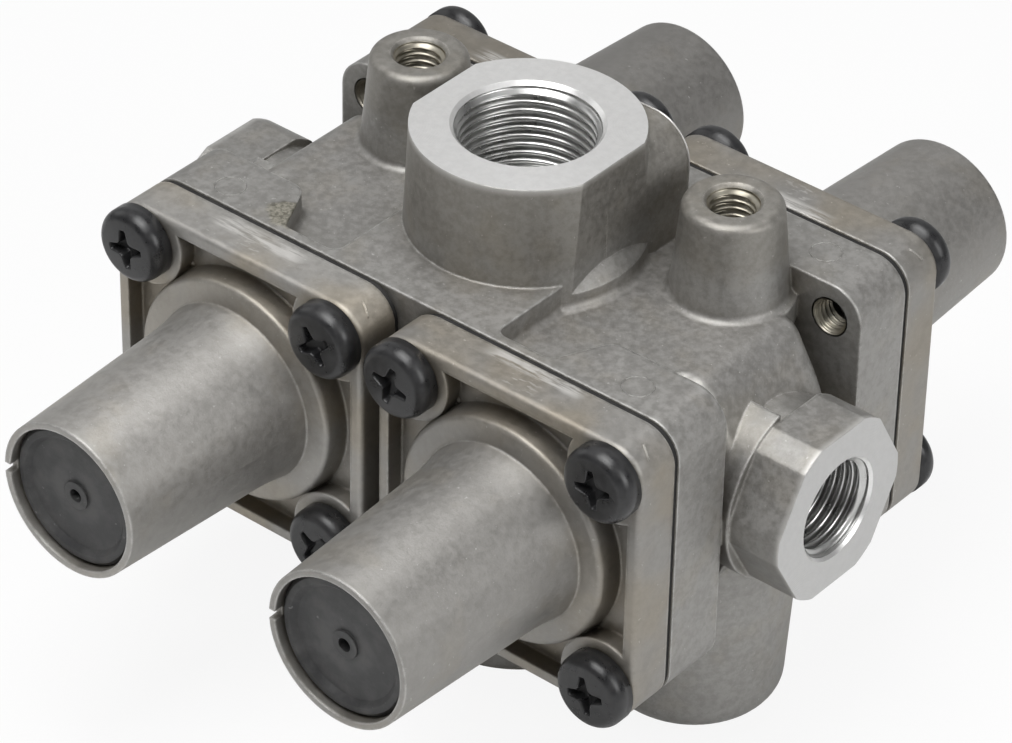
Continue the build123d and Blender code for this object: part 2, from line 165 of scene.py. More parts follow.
def cast_aluminium(name, dark, light, tan, marks):
    """Blasted die casting: faint clouds, fine mottle and grain, tan stains, lighter edges that are partly
    rubbed wear and partly a painted highlight, and painted shade that darkens the corners.
    Tan is the strength of the stains; marks is a function that adds what only this casting has."""
    finish = Finish(name)
    clouds = finish.noise(70.0, 2.0, 0.5)
    mottle = finish.noise(800.0, 4.0, 0.70)
    grain = finish.noise(2600.0, 3.0, 0.7)
    soft, turn = finish.soft_edges(0.7 * MM)
    shade = finish.math("MULTIPLY_ADD", mottle, 0.80, finish.math("MULTIPLY", clouds, 0.20))
    colour = finish.colours(finish.span(shade, 0.36, 0.64), dark, light)
    stains = finish.math("MULTIPLY", finish.span(finish.noise(95.0, 3.0, 0.55), 0.50, 0.66), tan)
    colour = finish.colours(stains, colour, (1.01, 0.975, 0.91), blend="MULTIPLY")
    blots = finish.span(finish.noise(260.0, 4.0, 0.6), 0.53, 0.68, 0.0, 0.12)
    colour = finish.colours(blots, colour, (0.14, 0.135, 0.120))
    specks = finish.span(finish.noise(1500.0, 2.0, 0.5), 0.70, 0.78, 0.0, 0.5)
    colour = finish.colours(specks, colour, (0.62, 0.61, 0.59))
    # painted shade: the corners and hollows that the ambient occlusion finds are darkened in the colour
    corner = finish.tree.nodes.new("ShaderNodeAmbientOcclusion")
    corner.samples = 6
    corner.inputs["Distance"].default_value = 6.0 * MM
    open_sky = finish.span(corner.outputs["AO"], 0.1, 0.9)
    painted_corner_shade = finish.colours(open_sky, (0.63, 0.60, 0.55), (1.0, 1.0, 1.0))
    colour = finish.colours(1.0, colour, painted_corner_shade, blend="MULTIPLY")
    # lighter edges: partly rubbed wear, partly a painted highlight on edges and fillets; kept weaker in the
    # hollows
    outer = finish.span(corner.outputs["AO"], 0.45, 0.80, 0.15, 1.0)
    patchy = finish.math("MULTIPLY", finish.span(mottle, 0.35, 0.60, 0.35, 0.9), outer)
    lighter_edges = finish.math("MULTIPLY", finish.span(turn, 0.02, 0.20), patchy)
    colour = finish.colours(lighter_edges, colour, (0.66, 0.65, 0.63))
    roughness = finish.span(mottle, 0.3, 0.7, 0.44, 0.56)
    height = finish.math("MULTIPLY_ADD", grain, 0.45, finish.math("MULTIPLY", mottle, 0.55))
    normal = finish.relief(height, 0.10 * MM, soft, 0.5)
    colour, roughness, normal = marks(finish, colour, roughness, normal, mottle)
    finish.link(colour, finish.shader.inputs["Base Color"])
    finish.link(roughness, finish.shader.inputs["Roughness"])
    finish.link(normal, finish.shader.inputs["Normal"])
    finish.shader.inputs["Metallic"].default_value = 0.75
    return finish.material


def body_marks(finish, colour, roughness, normal, mottle):
    """Turned faces and bores of three ports, with the fine rings of the tool, and one coarse spot
    beside the left lip where the mould has worn."""
    x, y, z = finish.parts()
    # darker above the flanges and dimmer on the end faces: set for the brightness at the camera's view,
    # and not a difference of the real casting
    dark_upper = finish.span(z, FLANGE_TOP + 1.0 * MM, FLANGE_TOP + 5.0 * MM, 0.0, 0.85)
    colour = finish.colours(dark_upper, colour, (0.86, 0.84, 0.80), blend="MULTIPLY")
    across = finish.math("ABSOLUTE", x)
    from_port_1 = finish.reach(x, y)
    from_side = finish.reach(y, finish.math("SUBTRACT", z, AXIS_HEIGHT))
    top = finish.math("GREATER_THAN", z, PORT_1_TOP - FACE_SKIN)
    bore = finish.math(
        "MULTIPLY",
        finish.math("LESS_THAN", from_port_1, PORT_1_BORE),
        finish.math("GREATER_THAN", z, SUPPLY_BORE_FOOT),
    )
    end = finish.math("GREATER_THAN", across, SIDE_FACE - FACE_SKIN)
    end_bore = finish.math(
        "MULTIPLY",
        finish.math("LESS_THAN", from_side, SIDE_BORE),
        finish.math("GREATER_THAN", across, END_BORE_FOOT),
    )
    turned = finish.math("MAXIMUM", finish.math("MAXIMUM", top, bore), finish.math("MAXIMUM", end, end_bore))
    radius = finish.math(
        "ADD",
        finish.math("MULTIPLY", from_port_1, top),
        finish.math("MULTIPLY", from_side, end),
    )
    dimmer = finish.math("MULTIPLY", end, 0.55)
    rings = finish.math("SINE", finish.math("MULTIPLY", radius, 2.0 * math.pi / TOOL_FEED))
    bright = finish.colours(finish.span(mottle, 0.3, 0.7), (0.80, 0.795, 0.785), (0.86, 0.855, 0.845))
    bright = finish.colours(dimmer, bright, (0.30, 0.30, 0.295))
    # lighter band just under the rims of the turned top of port 1 and of the end faces
    near_top = finish.span(z, PORT_1_TOP - 1.5 * MM, PORT_1_TOP, 0.0, 0.75)
    near_end = finish.span(across, SIDE_FACE - 1.2 * MM, SIDE_FACE, 0.0, 0.75)
    lighter_rim = finish.math("MAXIMUM", near_top, near_end)
    colour = finish.colours(lighter_rim, colour, (0.60, 0.59, 0.57))

    spot_x = finish.math("SUBTRACT", x, ROUGH_SPOT[0])
    spot_y = finish.math("MULTIPLY", finish.math("SUBTRACT", y, ROUGH_SPOT[1]), 1.3)
    ragged = finish.math("MULTIPLY", finish.noise(420.0, 3.0, 0.6), 3.2 * MM)
    from_spot = finish.math("ADD", finish.reach(spot_x, spot_y), ragged)
    spot = finish.math(
        "MULTIPLY",
        finish.span(from_spot, 5.0 * MM, 6.2 * MM, 1.0, 0.0),
        finish.math("GREATER_THAN", z, FLANGE_TOP - 0.5 * MM),
    )
    pits = finish.noise(1150.0, 3.0, 0.65)
    coarse = finish.colours(finish.span(pits, 0.36, 0.60), (0.15, 0.14, 0.105), (0.37, 0.35, 0.29))
    colour = finish.colours(finish.math("MULTIPLY", spot, 0.85), colour, coarse)
    normal = finish.relief(finish.math("MULTIPLY", pits, spot), 0.35 * MM, normal, 0.6)

    colour = finish.colours(turned, colour, bright)
    rest = finish.math("SUBTRACT", 1.0, turned)
    roughness = finish.math("MULTIPLY_ADD", turned, 0.34, finish.math("MULTIPLY", roughness, rest))
    mixed = finish.tree.nodes.new("ShaderNodeMix")
    mixed.data_type = "VECTOR"
    finish.link(turned, mixed.inputs[0])
    finish.link(normal, mixed.inputs[4])
    finish.link(finish.relief(rings, 0.012 * MM, None, 0.5), mixed.inputs[5])
    return colour, roughness, mixed.outputs[1]


body_finish = cast_aluminium(
    "die-cast_aluminium_body", (0.284, 0.277, 0.262), (0.362, 0.355, 0.340), 0.5, body_marks
)
repaint("valve_body", body_finish)

# Threads
# Cut threads of the ports and of the screw holes: M22 x 1.5 on top, M16 x 1.5 at the ends and below,
# M8 in the mounting bosses and the last turns of the M6 holes that open into the pockets.
LOWER_X, LOWER_FACE = 34.4 * MM, 3.5 * MM
PORT_CHAMFER, SIDE_CHAMFER, MOUNT_CHAMFER = 0.6 * MM, 0.45 * MM, 0.5 * MM
MOUNT_X, MOUNT_Y, MOUNT_TOP = 30.1 * MM, 10.7 * MM, 84.1 * MM
POCKET_X, POCKET_Z, POCKET_Y = 44.65 * MM, 18.7 * MM, 16.0 * MM
# profile of a thread: ridge height and run-out in pitches, groove flat and flank in half pitches
RIDGE_HEIGHT, RUN_OUT, GROOVE_FLAT, FLANK = 0.56, 0.6, 0.14, 0.62
ROUNDED, STRAIGHT = 0.35, 0.65


def grid_mesh(name, points, faces):
    """Object of the points and four-sided faces, with its normals turned outwards by its signed volume."""
    a, b, c, d = (points[faces[:, k]] for k in range(4))
    volume = np.einsum("ij,ij->i", a, np.cross(b, c)).sum() + np.einsum("ij,ij->i", a, np.cross(c, d)).sum()
    if volume < 0:
        faces = faces[:, ::-1]
    mesh = bpy.data.meshes.new(name)
    mesh.from_pydata(points.tolist(), [], faces.tolist())
    mesh.polygons.foreach_set("use_smooth", np.ones(len(faces), dtype=bool))
    mesh.update()
    piece = bpy.data.objects.new(name, mesh)
    bpy.context.scene.collection.objects.link(piece)
    return piece


def female_thread(outer, pitch, length, chamfer, columns=96, steps=14):
    """Rows round the hole: radius is outer minus a rounded ridge that climbs one pitch a turn,
    cut back by the 45 degree chamfer at the mouth; the last rows run back behind the wall."""
    depth = RIDGE_HEIGHT * pitch
    along = np.linspace(0.0, length, int(length / pitch * steps) + 1)[:, None]
    angle = np.linspace(0.0, 2.0 * math.pi, columns, endpoint=False)[None, :]
    phase = (along / pitch - angle / (2.0 * math.pi)) % 1.0
    ridge = np.clip((np.abs(2.0 * phase - 1.0) - GROOVE_FLAT) / FLANK, 0.0, 1.0)
    ridge = ridge * ridge * (3.0 - 2.0 * ridge) * ROUNDED + ridge * STRAIGHT
    ridge *= np.clip((length - along) / (RUN_OUT * pitch), 0.0, 1.0)
    skin = 0.02 * MM
    radius = np.maximum(outer - skin - depth * ridge, np.minimum(outer + 0.5 * chamfer - along, outer - skin))
    back = np.array([length, 0.0])[:, None] * np.ones_like(angle)
    along = np.vstack([along * np.ones_like(angle), back])
    radius = np.vstack([radius, np.full_like(back, outer + 0.25 * MM)])
    return radius * np.cos(angle), radius * np.sin(angle), along


def threads_at(name, size, mouths):
    """One object of equal threads; a mouth is its centre and the direction in which the hole goes in."""
    points, faces, start = [], [], 0
    for centre, inward in mouths:
        first, second, along = female_thread(*size)
        inward = np.array(inward, dtype=float)
        side = np.cross(inward, (0.0, 1.0, 0.0) if abs(inward[1]) < 0.5 else (1.0, 0.0, 0.0))
        other = np.cross(inward, side)
        across = first[..., None] * side + second[..., None] * other
        rings = np.array(centre) + across + along[..., None] * inward
        rows, columns = rings.shape[:2]
        index = np.arange(rows * columns).reshape(rows, columns)
        right, below = np.roll(index, -1, axis=1), np.roll(index, -1, axis=0)
        quads = np.stack([index, right, np.roll(right, -1, axis=0), below], axis=-1).reshape(-1, 4)
        points.append(rings.reshape(-1, 3))
        faces.append(quads + start)
        start += rows * columns
    return grid_mesh(name, np.vstack(points), np.vstack(faces))


def cut_aluminium(name, dark, light, roughness):
    """Aluminium as cut by a tap, with fine scoring; a fresh thread is bright, a blasted one dull."""
    finish = Finish(name)
    cloud = finish.noise(260.0, 2.0, 0.5)
    scoring = finish.noise(3800.0, 2.0, 0.6)
    finish.link(finish.colours(finish.span(cloud, 0.3, 0.7), dark, light), finish.shader.inputs["Base Color"])
    finish.link(finish.span(cloud, 0.3, 0.7, roughness, roughness + 0.06), finish.shader.inputs["Roughness"])
    finish.link(finish.relief(scoring, 0.004 * MM, None, 0.2), finish.shader.inputs["Normal"])
    finish.shader.inputs["Metallic"].default_value = 1.0
    return finish.material


fresh_thread = cut_aluminium("cut_aluminium_threads", (0.52, 0.52, 0.51), (0.66, 0.66, 0.65), 0.27)
dull_thread = cut_aluminium("dull_tapped_threads", (0.30, 0.28, 0.23), (0.50, 0.47, 0.40), 0.36)
thread_groups = {
    "supply_port_thread": (
        fresh_thread,
        (11.0 * MM, 1.5 * MM, 14.6 * MM, PORT_CHAMFER, 128),
        [((0.0, 0.0, PORT_1_TOP - PORT_CHAMFER), (0, 0, -1))],
    ),
    "end_port_threads": (
        fresh_thread,
        (8.0 * MM, 1.5 * MM, 12.0 * MM, SIDE_CHAMFER, 96),
        [((s * (SIDE_FACE - SIDE_CHAMFER), 0.0, AXIS_HEIGHT), (-s, 0, 0)) for s in (1, -1)],
    ),
    "lower_port_threads": (
        fresh_thread,
        (8.0 * MM, 1.5 * MM, 12.0 * MM, SIDE_CHAMFER, 96),
        [((s * LOWER_X, 0.0, LOWER_FACE + SIDE_CHAMFER), (0, 0, 1)) for s in (1, -1)],
    ),
    "mounting_threads": (
        dull_thread,
        (4.0 * MM, 1.25 * MM, 11.6 * MM, MOUNT_CHAMFER, 64, 10),
        [((s * MOUNT_X, MOUNT_Y, MOUNT_TOP - MOUNT_CHAMFER), (0, 0, -1)) for s in (1, -1)],
    ),
    "pocket_threads": (
        dull_thread,
        (3.0 * MM, 1.0 * MM, 4.6 * MM, 0.02 * MM, 48, 8),
        [
            ((s * POCKET_X, t * POCKET_Y, AXIS_HEIGHT + u * POCKET_Z), (0, t, 0))
            for s in (1, -1) for t in (1, -1) for u in (1, -1)
        ],
    ),
}
for name, (metal, size, mouths) in thread_groups.items():
    piece = threads_at(name, size, mouths)
    piece.data.materials.append(metal)
    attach(piece, "valve")

# Casting marks of the body
# The moulds leave a fine seam on the edge of the block behind port 1, light in colour as a painted highlight,
# and a thin circle where each ejector pin has pushed the flanges out.
BLOCK_HALF_WIDTH, BLOCK_CORNER = 16.2 * MM, 6.6 * MM
BLOCK_TOP, BLOCK_FOOT, BLOCK_END = AXIS_HEIGHT + 38.8 * MM, AXIS_HEIGHT + 20.6 * MM, 18.0 * MM
EJECTOR_PLACES = [(x * MM, y * MM) for x, y in ((39.0, 22.2), (39.0, -22.2), (-38.5, -22.8), (-39.0, 22.2))]
EJECTOR_RADIUS = 2.4 * MM
SEAM_RADIUS, EJECTOR_LINE, EJECTOR_SINK = 0.20 * MM, 0.12 * MM, 0.05 * MM


def end_caps(index):
    """Faces that close the first and last ring of a grid of points: strips between its two halves."""
    columns = index.shape[1]
    steps = np.arange(columns // 2 - 1)
    return [
        np.stack([row[steps], row[columns - 1 - steps], row[columns - 2 - steps], row[steps + 1]], axis=-1)
        for row in (index[0], index[-1][::-1])
    ]


def bead(path, across, radius, closed):
    """Points and faces of a round bead: a circle of that radius is carried along the path, with one axis
    along the given direction and the other square to it and to the path; open ends shrink to a point."""
    ahead = np.roll(path, -1, axis=0) - np.roll(path, 1, axis=0)
    if not closed:
        ahead[0], ahead[-1] = path[1] - path[0], path[-1] - path[-2]
    ahead /= np.linalg.norm(ahead, axis=1)[:, None]
    other = np.cross(ahead, across)
    other /= np.linalg.norm(other, axis=1)[:, None]
    size = np.full(len(path), radius)
    if not closed:
        size[[0, -1]] = 0.02 * radius
    angle = np.linspace(0.0, 2.0 * math.pi, 10, endpoint=False)
    cosine, sine = np.cos(angle)[None, :, None], np.sin(angle)[None, :, None]
    ring = cosine * np.asarray(across) + sine * other[:, None, :]
    points = path[:, None, :] + size[:, None, None] * ring
    rows, columns = points.shape[:2]
    index = np.arange(rows * columns).reshape(rows, columns)
    right = np.roll(index, -1, axis=1)
    if closed:
        quads = np.stack([index, right, np.roll(right, -1, axis=0), np.roll(index, -1, axis=0)], axis=-1)
        return points.reshape(-1, 3), quads.reshape(-1, 4)
    quads = np.stack([index[:-1], right[:-1], right[1:], index[1:]], axis=-1).reshape(-1, 4)
    return points.reshape(-1, 3), np.vstack([quads, *end_caps(index)])


def gather(name, shells):
    """One object of several closed shells, each given as points and faces."""
    sizes = np.cumsum([0] + [len(points) for points, faces in shells[:-1]])
    points = np.vstack([points for points, faces in shells])
    faces = np.vstack([shell[1] + start for start, shell in zip(sizes, shells)])
    piece = grid_mesh(name, points, faces)
    shell = bmesh.new()
    shell.from_mesh(piece.data)
    bmesh.ops.recalc_face_normals(shell, faces=shell.faces)
    shell.to_mesh(piece.data)
    shell.free()
    return piece


bend = np.linspace(0.0, math.pi / 2, 12)
corner_x = BLOCK_HALF_WIDTH - BLOCK_CORNER + BLOCK_CORNER * np.cos(bend)
corner_z = BLOCK_TOP - BLOCK_CORNER + BLOCK_CORNER * np.sin(bend)
outline_x = np.concatenate([[BLOCK_HALF_WIDTH], corner_x, -corner_x[::-1], [-BLOCK_HALF_WIDTH]])
outline_z = np.concatenate([[BLOCK_FOOT], corner_z, corner_z[::-1], [BLOCK_FOOT]])
outline = np.stack([outline_x, np.full_like(outline_x, BLOCK_END), outline_z], axis=-1)
around = np.linspace(0.0, 2.0 * math.pi, 48, endpoint=False)
# the seam's light colour is a painted highlight along the edge of the block
seam_highlight_finish = cut_aluminium("casting_seam_painted_highlight", (0.50, 0.49, 0.47), (0.66, 0.65, 0.63), 0.42)
seam = gather("rear_block_seam", [bead(outline, (0.0, 1.0, 0.0), SEAM_RADIUS, False)])
seam.data.materials.append(seam_highlight_finish)
marks = []
for x, y in EJECTOR_PLACES:
    circle = np.stack([
        x + EJECTOR_RADIUS * np.cos(around),
        y + EJECTOR_RADIUS * np.sin(around),
        np.full_like(around, FLANGE_TOP - EJECTOR_SINK),
    ], axis=-1)
    marks.append(bead(circle, (0.0, 0.0, 1.0), EJECTOR_LINE, True))
circles = gather("ejector_circles", marks)
circles.data.materials.append(body_finish)
for piece in (seam, circles):
    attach(piece, "valve")

# Bonnets
# Four die-cast spring bonnets, each held by four screws over its diaphragm. They come from another
# mould than the body and are scuffed along the top. The tones are set for the brightness at the
# camera's view and are no real difference: all at 1 is the plain casting.
CELLS = {"front_left": (-1, -1), "front_right": (1, -1), "rear_left": (-1, 1), "rear_right": (1, 1)}
TONES = {"front_left": 1.12, "front_right": 0.96, "rear_left": 0.80, "rear_right": 0.94}
HALF_SPACING, HALF_PITCH = 25.95 * MM, 18.7 * MM
BONNET_BACK, BONNET_CORNER = 27.9 * MM, 5.5 * MM
HALF_FLANGE = 24.45 * MM
RECESS_REACH = BONNET_BACK + 4.5 * MM
PIN_BUMPS = ((-11.5 * MM, 15.85 * MM), (15.6 * MM, -12.0 * MM))
PIN_RADIUS, PIN_HEIGHT = 0.55 * MM, 0.35 * MM
RIB_RADIUS, RIB_SINK, RIB_REACH = 0.26 * MM, 0.08 * MM, (31.5 * MM, 32.6 * MM)
LONG_SCUFFS, RIGHT_SHIFT, SHORT_SCUFFS = 30.2 * MM, -1.4 * MM, 32.2 * MM
TAN_FADE = (35.5 * MM, 37.5 * MM)


def bonnet_marks(finish, colour, roughness, normal, mottle):
    """Bright scuffs on the top of the flange near the gasket: long streaks along it and a few across."""
    x, y, z = finish.parts()
    depth = finish.math("ABSOLUTE", y)
    middle = finish.math("ABSOLUTE", finish.math("SUBTRACT", finish.math("ABSOLUTE", x), HALF_SPACING))
    on_top = finish.math("GREATER_THAN", z, FLANGE_TOP - 0.25 * MM)
    at_right = finish.math("GREATER_THAN", x, 0.0)
    line = finish.math("MULTIPLY_ADD", at_right, RIGHT_SHIFT, LONG_SCUFFS)
    long_band = finish.math(
        "MULTIPLY",
        finish.band(depth, line, 0.7 * MM, 1.3 * MM),
        finish.span(middle, 6.0 * MM, 10.0 * MM, 1.0, 0.0),
    )
    streaks = finish.span(finish.noise(1.0, 4.0, 0.7, (110.0, 1000.0, 110.0), 0.05), 0.38, 0.56)
    slanted = finish.span(finish.noise(1.0, 2.0, 0.6, (500.0, 1500.0, 300.0), -1.0), 0.55, 0.66)
    short_band = finish.math(
        "MULTIPLY",
        finish.band(depth, SHORT_SCUFFS, 1.2 * MM, 0.8 * MM),
        finish.span(middle, 1.5 * MM, 4.0 * MM, 1.0, 0.0),
    )
    scuffs = finish.math(
        "MAXIMUM",
        finish.math("MULTIPLY", long_band, streaks),
        finish.math("MULTIPLY", finish.math("MULTIPLY", short_band, slanted), 0.45),
    )
    scuffs = finish.math("MULTIPLY", finish.math("MULTIPLY", scuffs, on_top), 0.8)
    handled = finish.span(finish.noise(60.0, 2.0, 0.5), 0.40, 0.60, 0.0, 0.9)
    handled = finish.math("MULTIPLY", handled, finish.span(depth, *TAN_FADE, 1.0, 0.0))
    colour = finish.colours(handled, colour, (1.02, 0.96, 0.86), blend="MULTIPLY")
    return finish.colours(scuffs, colour, (0.70, 0.685, 0.66)), roughness, normal


def dome(centre, along, radius, height):
    """Points and faces of a small round bump, a quarter circle of radius and height turned about Y."""
    rise = np.linspace(0.0, math.pi / 2, 6)[:-1]
    angle = np.linspace(0.0, 2.0 * math.pi, 16, endpoint=False)
    reach = np.concatenate([[0.02], np.cos(rise), [0.02]])[:, None] * radius
    lift = np.concatenate([[-0.3], np.where(rise == 0.0, -0.3, np.sin(rise)), [1.0]])[:, None] * height
    grid = np.stack([
        centre[0] + reach * np.cos(angle),
        centre[1] + along * lift * np.ones_like(angle),
        centre[2] + reach * np.sin(angle),
    ], axis=-1)
    rows, columns = grid.shape[:2]
    index = np.arange(rows * columns).reshape(rows, columns)
    right = np.roll(index, -1, axis=1)
    quads = np.stack([index[:-1], right[:-1], right[1:], index[1:]], axis=-1).reshape(-1, 4)
    return grid.reshape(-1, 3), np.vstack([quads, *end_caps(index)])


rib_angle = np.radians(np.linspace(66.0, 36.0, 9))
for cell, (across, along) in CELLS.items():
    dark, light = (tuple(TONES[cell] * v for v in c) for c in ((0.310, 0.301, 0.284), (0.358, 0.348, 0.331)))
    bonnet_finish = cast_aluminium(f"die-cast_aluminium_{cell}_bonnet", dark, light, 0.5, bonnet_marks)
    repaint(f"{cell}_bonnet", bonnet_finish)
    corner = HALF_FLANGE - BONNET_CORNER
    arc = BONNET_CORNER - RIB_SINK
    rib = np.stack([
        across * HALF_SPACING + corner + arc * np.cos(rib_angle),
        along * np.linspace(*RIB_REACH, len(rib_angle)),
        AXIS_HEIGHT + corner + arc * np.sin(rib_angle),
    ], axis=-1)
    marks = [bead(rib, (0.0, 1.0, 0.0), RIB_RADIUS, False)]
    for u, w in PIN_BUMPS:
        place = (across * HALF_SPACING + u, along * RECESS_REACH, AXIS_HEIGHT - along * w)
        marks.append(dome(place, along, PIN_RADIUS, PIN_HEIGHT))
    piece = gather(f"{cell}_bonnet_marks", marks)
    piece.data.materials.append(bonnet_finish)
    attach(piece, "valve")

# Dust plugs
# Moulded black plugs pressed into the bonnet ends, with a breather hole in a raised ring.
# Grey dust has settled on them in rings and smudges.


def moulded_plastic():
    """Dull black moulding with a fine spark-eroded grain; dust in clouds, more of it round the ring."""
    finish = Finish("black_moulded_plastic_plugs")
    x, y, z = finish.parts()
    cloud = finish.noise(170.0, 4.0, 0.62)
    grain = finish.noise(3000.0, 2.0, 0.6)
    soft, turn = finish.soft_edges(0.2 * MM)
    off_axis = finish.math("SUBTRACT", finish.math("ABSOLUTE", x), HALF_SPACING)
    radius = finish.reach(off_axis, finish.math("SUBTRACT", z, AXIS_HEIGHT))
    ring_dust = finish.band(radius, 3.6 * MM, 0.3 * MM, 2.2 * MM)
    dust = finish.math("MULTIPLY_ADD", ring_dust, 0.12, cloud)
    colour = finish.colours(finish.span(dust, 0.36, 0.74), (0.026, 0.026, 0.027), (0.082, 0.081, 0.080))
    specks = finish.span(finish.noise(900.0, 2.0, 0.5), 0.70, 0.76, 0.0, 0.6)
    colour = finish.colours(specks, colour, (0.22, 0.22, 0.215))
    colour = finish.colours(finish.span(turn, 0.05, 0.35, 0.0, 0.3), colour, (0.13, 0.13, 0.128))
    finish.link(colour, finish.shader.inputs["Base Color"])
    finish.link(finish.span(cloud, 0.3, 0.7, 0.46, 0.62), finish.shader.inputs["Roughness"])
    finish.link(finish.relief(grain, 0.05 * MM, soft, 0.4), finish.shader.inputs["Normal"])
    return finish.material


plug_finish = moulded_plastic()
for cell in CELLS:
    repaint(f"{cell}_dust_plug", plug_finish)

# Screws
# Sixteen black-coated M6 pan-head screws with a cross recess, four to a bonnet,
# each left at the angle at which it came tight.
HEAD_RADIUS, HEAD_HEIGHT = 6.0 * MM, 4.2 * MM
SEAT_REACH = 35.4 * MM
SHANK_RADIUS, SHANK_LENGTH = 2.95 * MM, 14.0 * MM
HEAD_SHOULDER, HEAD_CROWN = 1.65 * MM, 0.30 * MM
HEAD_RINGS_IN_MM = ((0.02, 3.6, 44), (3.7, 4.3, 4))
CROSS_REACH, CROSS_DEPTH, CROSS_MIDDLE = 3.25 * MM, 2.3 * MM, 1.55 * MM
ARM_HALF_WIDTH, ARM_NARROWING, ARM_LEAST = 1.15 * MM, 0.20, 0.50 * MM
TIGHT_ANGLES = {("front_left", -1, 1): 10.5, ("front_left", 1, 1): 33.0, ("front_right", -1, 1): -13.0,
                ("front_right", 1, 1): 8.5, ("front_right", 1, -1): 12.0}


def screw_points(turn):
    """Height over the seat on rings from the middle outwards: a shallow dome with a rounded shoulder,
    a straight side, the flat under the head and the shank; the recess is cut into the dome as a cross
    whose arms narrow outwards and run together in a round middle."""
    columns = 144
    angle = np.linspace(0.0, 2.0 * math.pi, columns, endpoint=False)[None, :]
    flat = np.concatenate([np.linspace(*rings) for rings in HEAD_RINGS_IN_MM]) * MM
    bend = np.linspace(0.0, math.pi / 2, 10)
    shoulder = HEAD_SHOULDER
    inner = np.concatenate([flat, HEAD_RADIUS - shoulder + shoulder * np.sin(bend)])
    crown = HEAD_CROWN * (1.0 - (np.minimum(inner, HEAD_RADIUS - shoulder) / (HEAD_RADIUS - shoulder)) ** 2)
    drop = np.concatenate([np.zeros(len(flat)), shoulder * 1.15 * (1.0 - np.cos(bend))])
    height = HEAD_HEIGHT - HEAD_CROWN + crown - drop
    radius = np.concatenate([inner, [HEAD_RADIUS, SHANK_RADIUS + 0.2 * MM, SHANK_RADIUS, SHANK_RADIUS]])
    height = np.concatenate([height, [0.25 * MM, 0.0, -0.2 * MM, -SHANK_LENGTH]])
    radius, height = radius[:, None] * np.ones_like(angle), height[:, None] * np.ones_like(angle)
    u, v = radius * np.cos(angle), radius * np.sin(angle)
    arms = []
    for p, q in ((u, v), (v, u)):
        half_width = np.clip(ARM_HALF_WIDTH - ARM_NARROWING * np.abs(p), ARM_LEAST, None)
        wall = np.clip((half_width - np.abs(q)) / (0.18 * MM), 0.0, 1.0)
        arms.append(wall * np.clip((CROSS_REACH - np.abs(p)) / (0.35 * MM), 0.0, 1.0))
    middle = np.clip((CROSS_MIDDLE - np.hypot(u, v)) / (0.2 * MM), 0.0, 1.0)
    recess = np.maximum(np.maximum(arms[0], arms[1]), middle)
    floor_rise = np.clip(np.hypot(u, v) / CROSS_REACH, 0.0, 1.0) * 0.45
    in_head = height > 1.5 * MM
    height = np.where(in_head, height - recess * CROSS_DEPTH * (1.0 - floor_rise), height)
    turned = angle + turn
    return radius * np.cos(turned), radius * np.sin(turned), height


def black_coating():
    """Zinc flake coating in black: satin, rubbed grey on the shoulders and round the recess."""
    finish = Finish("black_coated_steel_screws")
    cloud = finish.noise(500.0, 4.0, 0.6)
    grain = finish.noise(3500.0, 2.0, 0.6)
    soft, turn = finish.soft_edges(0.15 * MM)
    lighter_edges = finish.math("MULTIPLY", finish.span(turn, 0.05, 0.35), finish.span(cloud, 0.45, 0.65, 0.0, 0.5))
    colour = finish.colours(finish.span(cloud, 0.3, 0.7), (0.013, 0.013, 0.014), (0.028, 0.028, 0.029))
    colour = finish.colours(lighter_edges, colour, (0.11, 0.11, 0.11))
    finish.link(colour, finish.shader.inputs["Base Color"])
    finish.link(finish.span(cloud, 0.3, 0.7, 0.26, 0.40), finish.shader.inputs["Roughness"])
    finish.link(finish.relief(grain, 0.03 * MM, soft, 0.3), finish.shader.inputs["Normal"])
    return finish.material


screw_finish = black_coating()
rng = np.random.default_rng(11)
for cell, (across, along) in CELLS.items():
    points, faces, start = [], [], 0
    for right in (-1, 1):
        for up in (-1, 1):
            turn = rng.uniform(0.0, 90.0)
            turn = math.radians(TIGHT_ANGLES.get((cell, right, up), turn))
            u, v, h = screw_points(turn)
            rows, columns = u.shape
            x = across * HALF_SPACING + right * HALF_PITCH + u
            y = along * (SEAT_REACH + h)
            z = AXIS_HEIGHT + up * HALF_PITCH + v
            grid = np.stack([x, y, z], axis=-1).reshape(-1, 3)
            ends = np.array([grid[:columns].mean(axis=0), grid[-columns:].mean(axis=0)])
            index = np.arange(rows * columns).reshape(rows, columns)
            right_of = np.roll(index, -1, axis=1)
            quads = np.stack([index[:-1], right_of[:-1], right_of[1:], index[1:]], axis=-1).reshape(-1, 4)
            first, last = rows * columns, rows * columns + 1
            caps = np.concatenate([
                np.stack([np.full(columns, first), right_of[0], index[0], np.full(columns, first)], axis=-1),
                np.stack([np.full(columns, last), index[-1], right_of[-1], np.full(columns, last)], axis=-1),
            ])
            points.append(np.vstack([grid, ends]))
            faces.append(np.vstack([quads, caps]) + start)
            start += len(grid) + 2
    piece = grid_mesh(f"{cell}_cross_screws", np.vstack(points), np.vstack(faces))
    shell = bmesh.new()
    shell.from_mesh(piece.data)
    bmesh.ops.dissolve_degenerate(shell, dist=1e-9, edges=shell.edges)
    bmesh.ops.recalc_face_normals(shell, faces=shell.faces)
    shell.to_mesh(piece.data)
    shell.free()
    piece.data.materials.append(screw_finish)
    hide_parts(f"{cell}_screws")
    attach(piece, "valve")

# Diaphragms
# Rubber diaphragms with a fabric core, clamped between the body and the bonnets;
# only the edge of the rim is seen, as a black line.


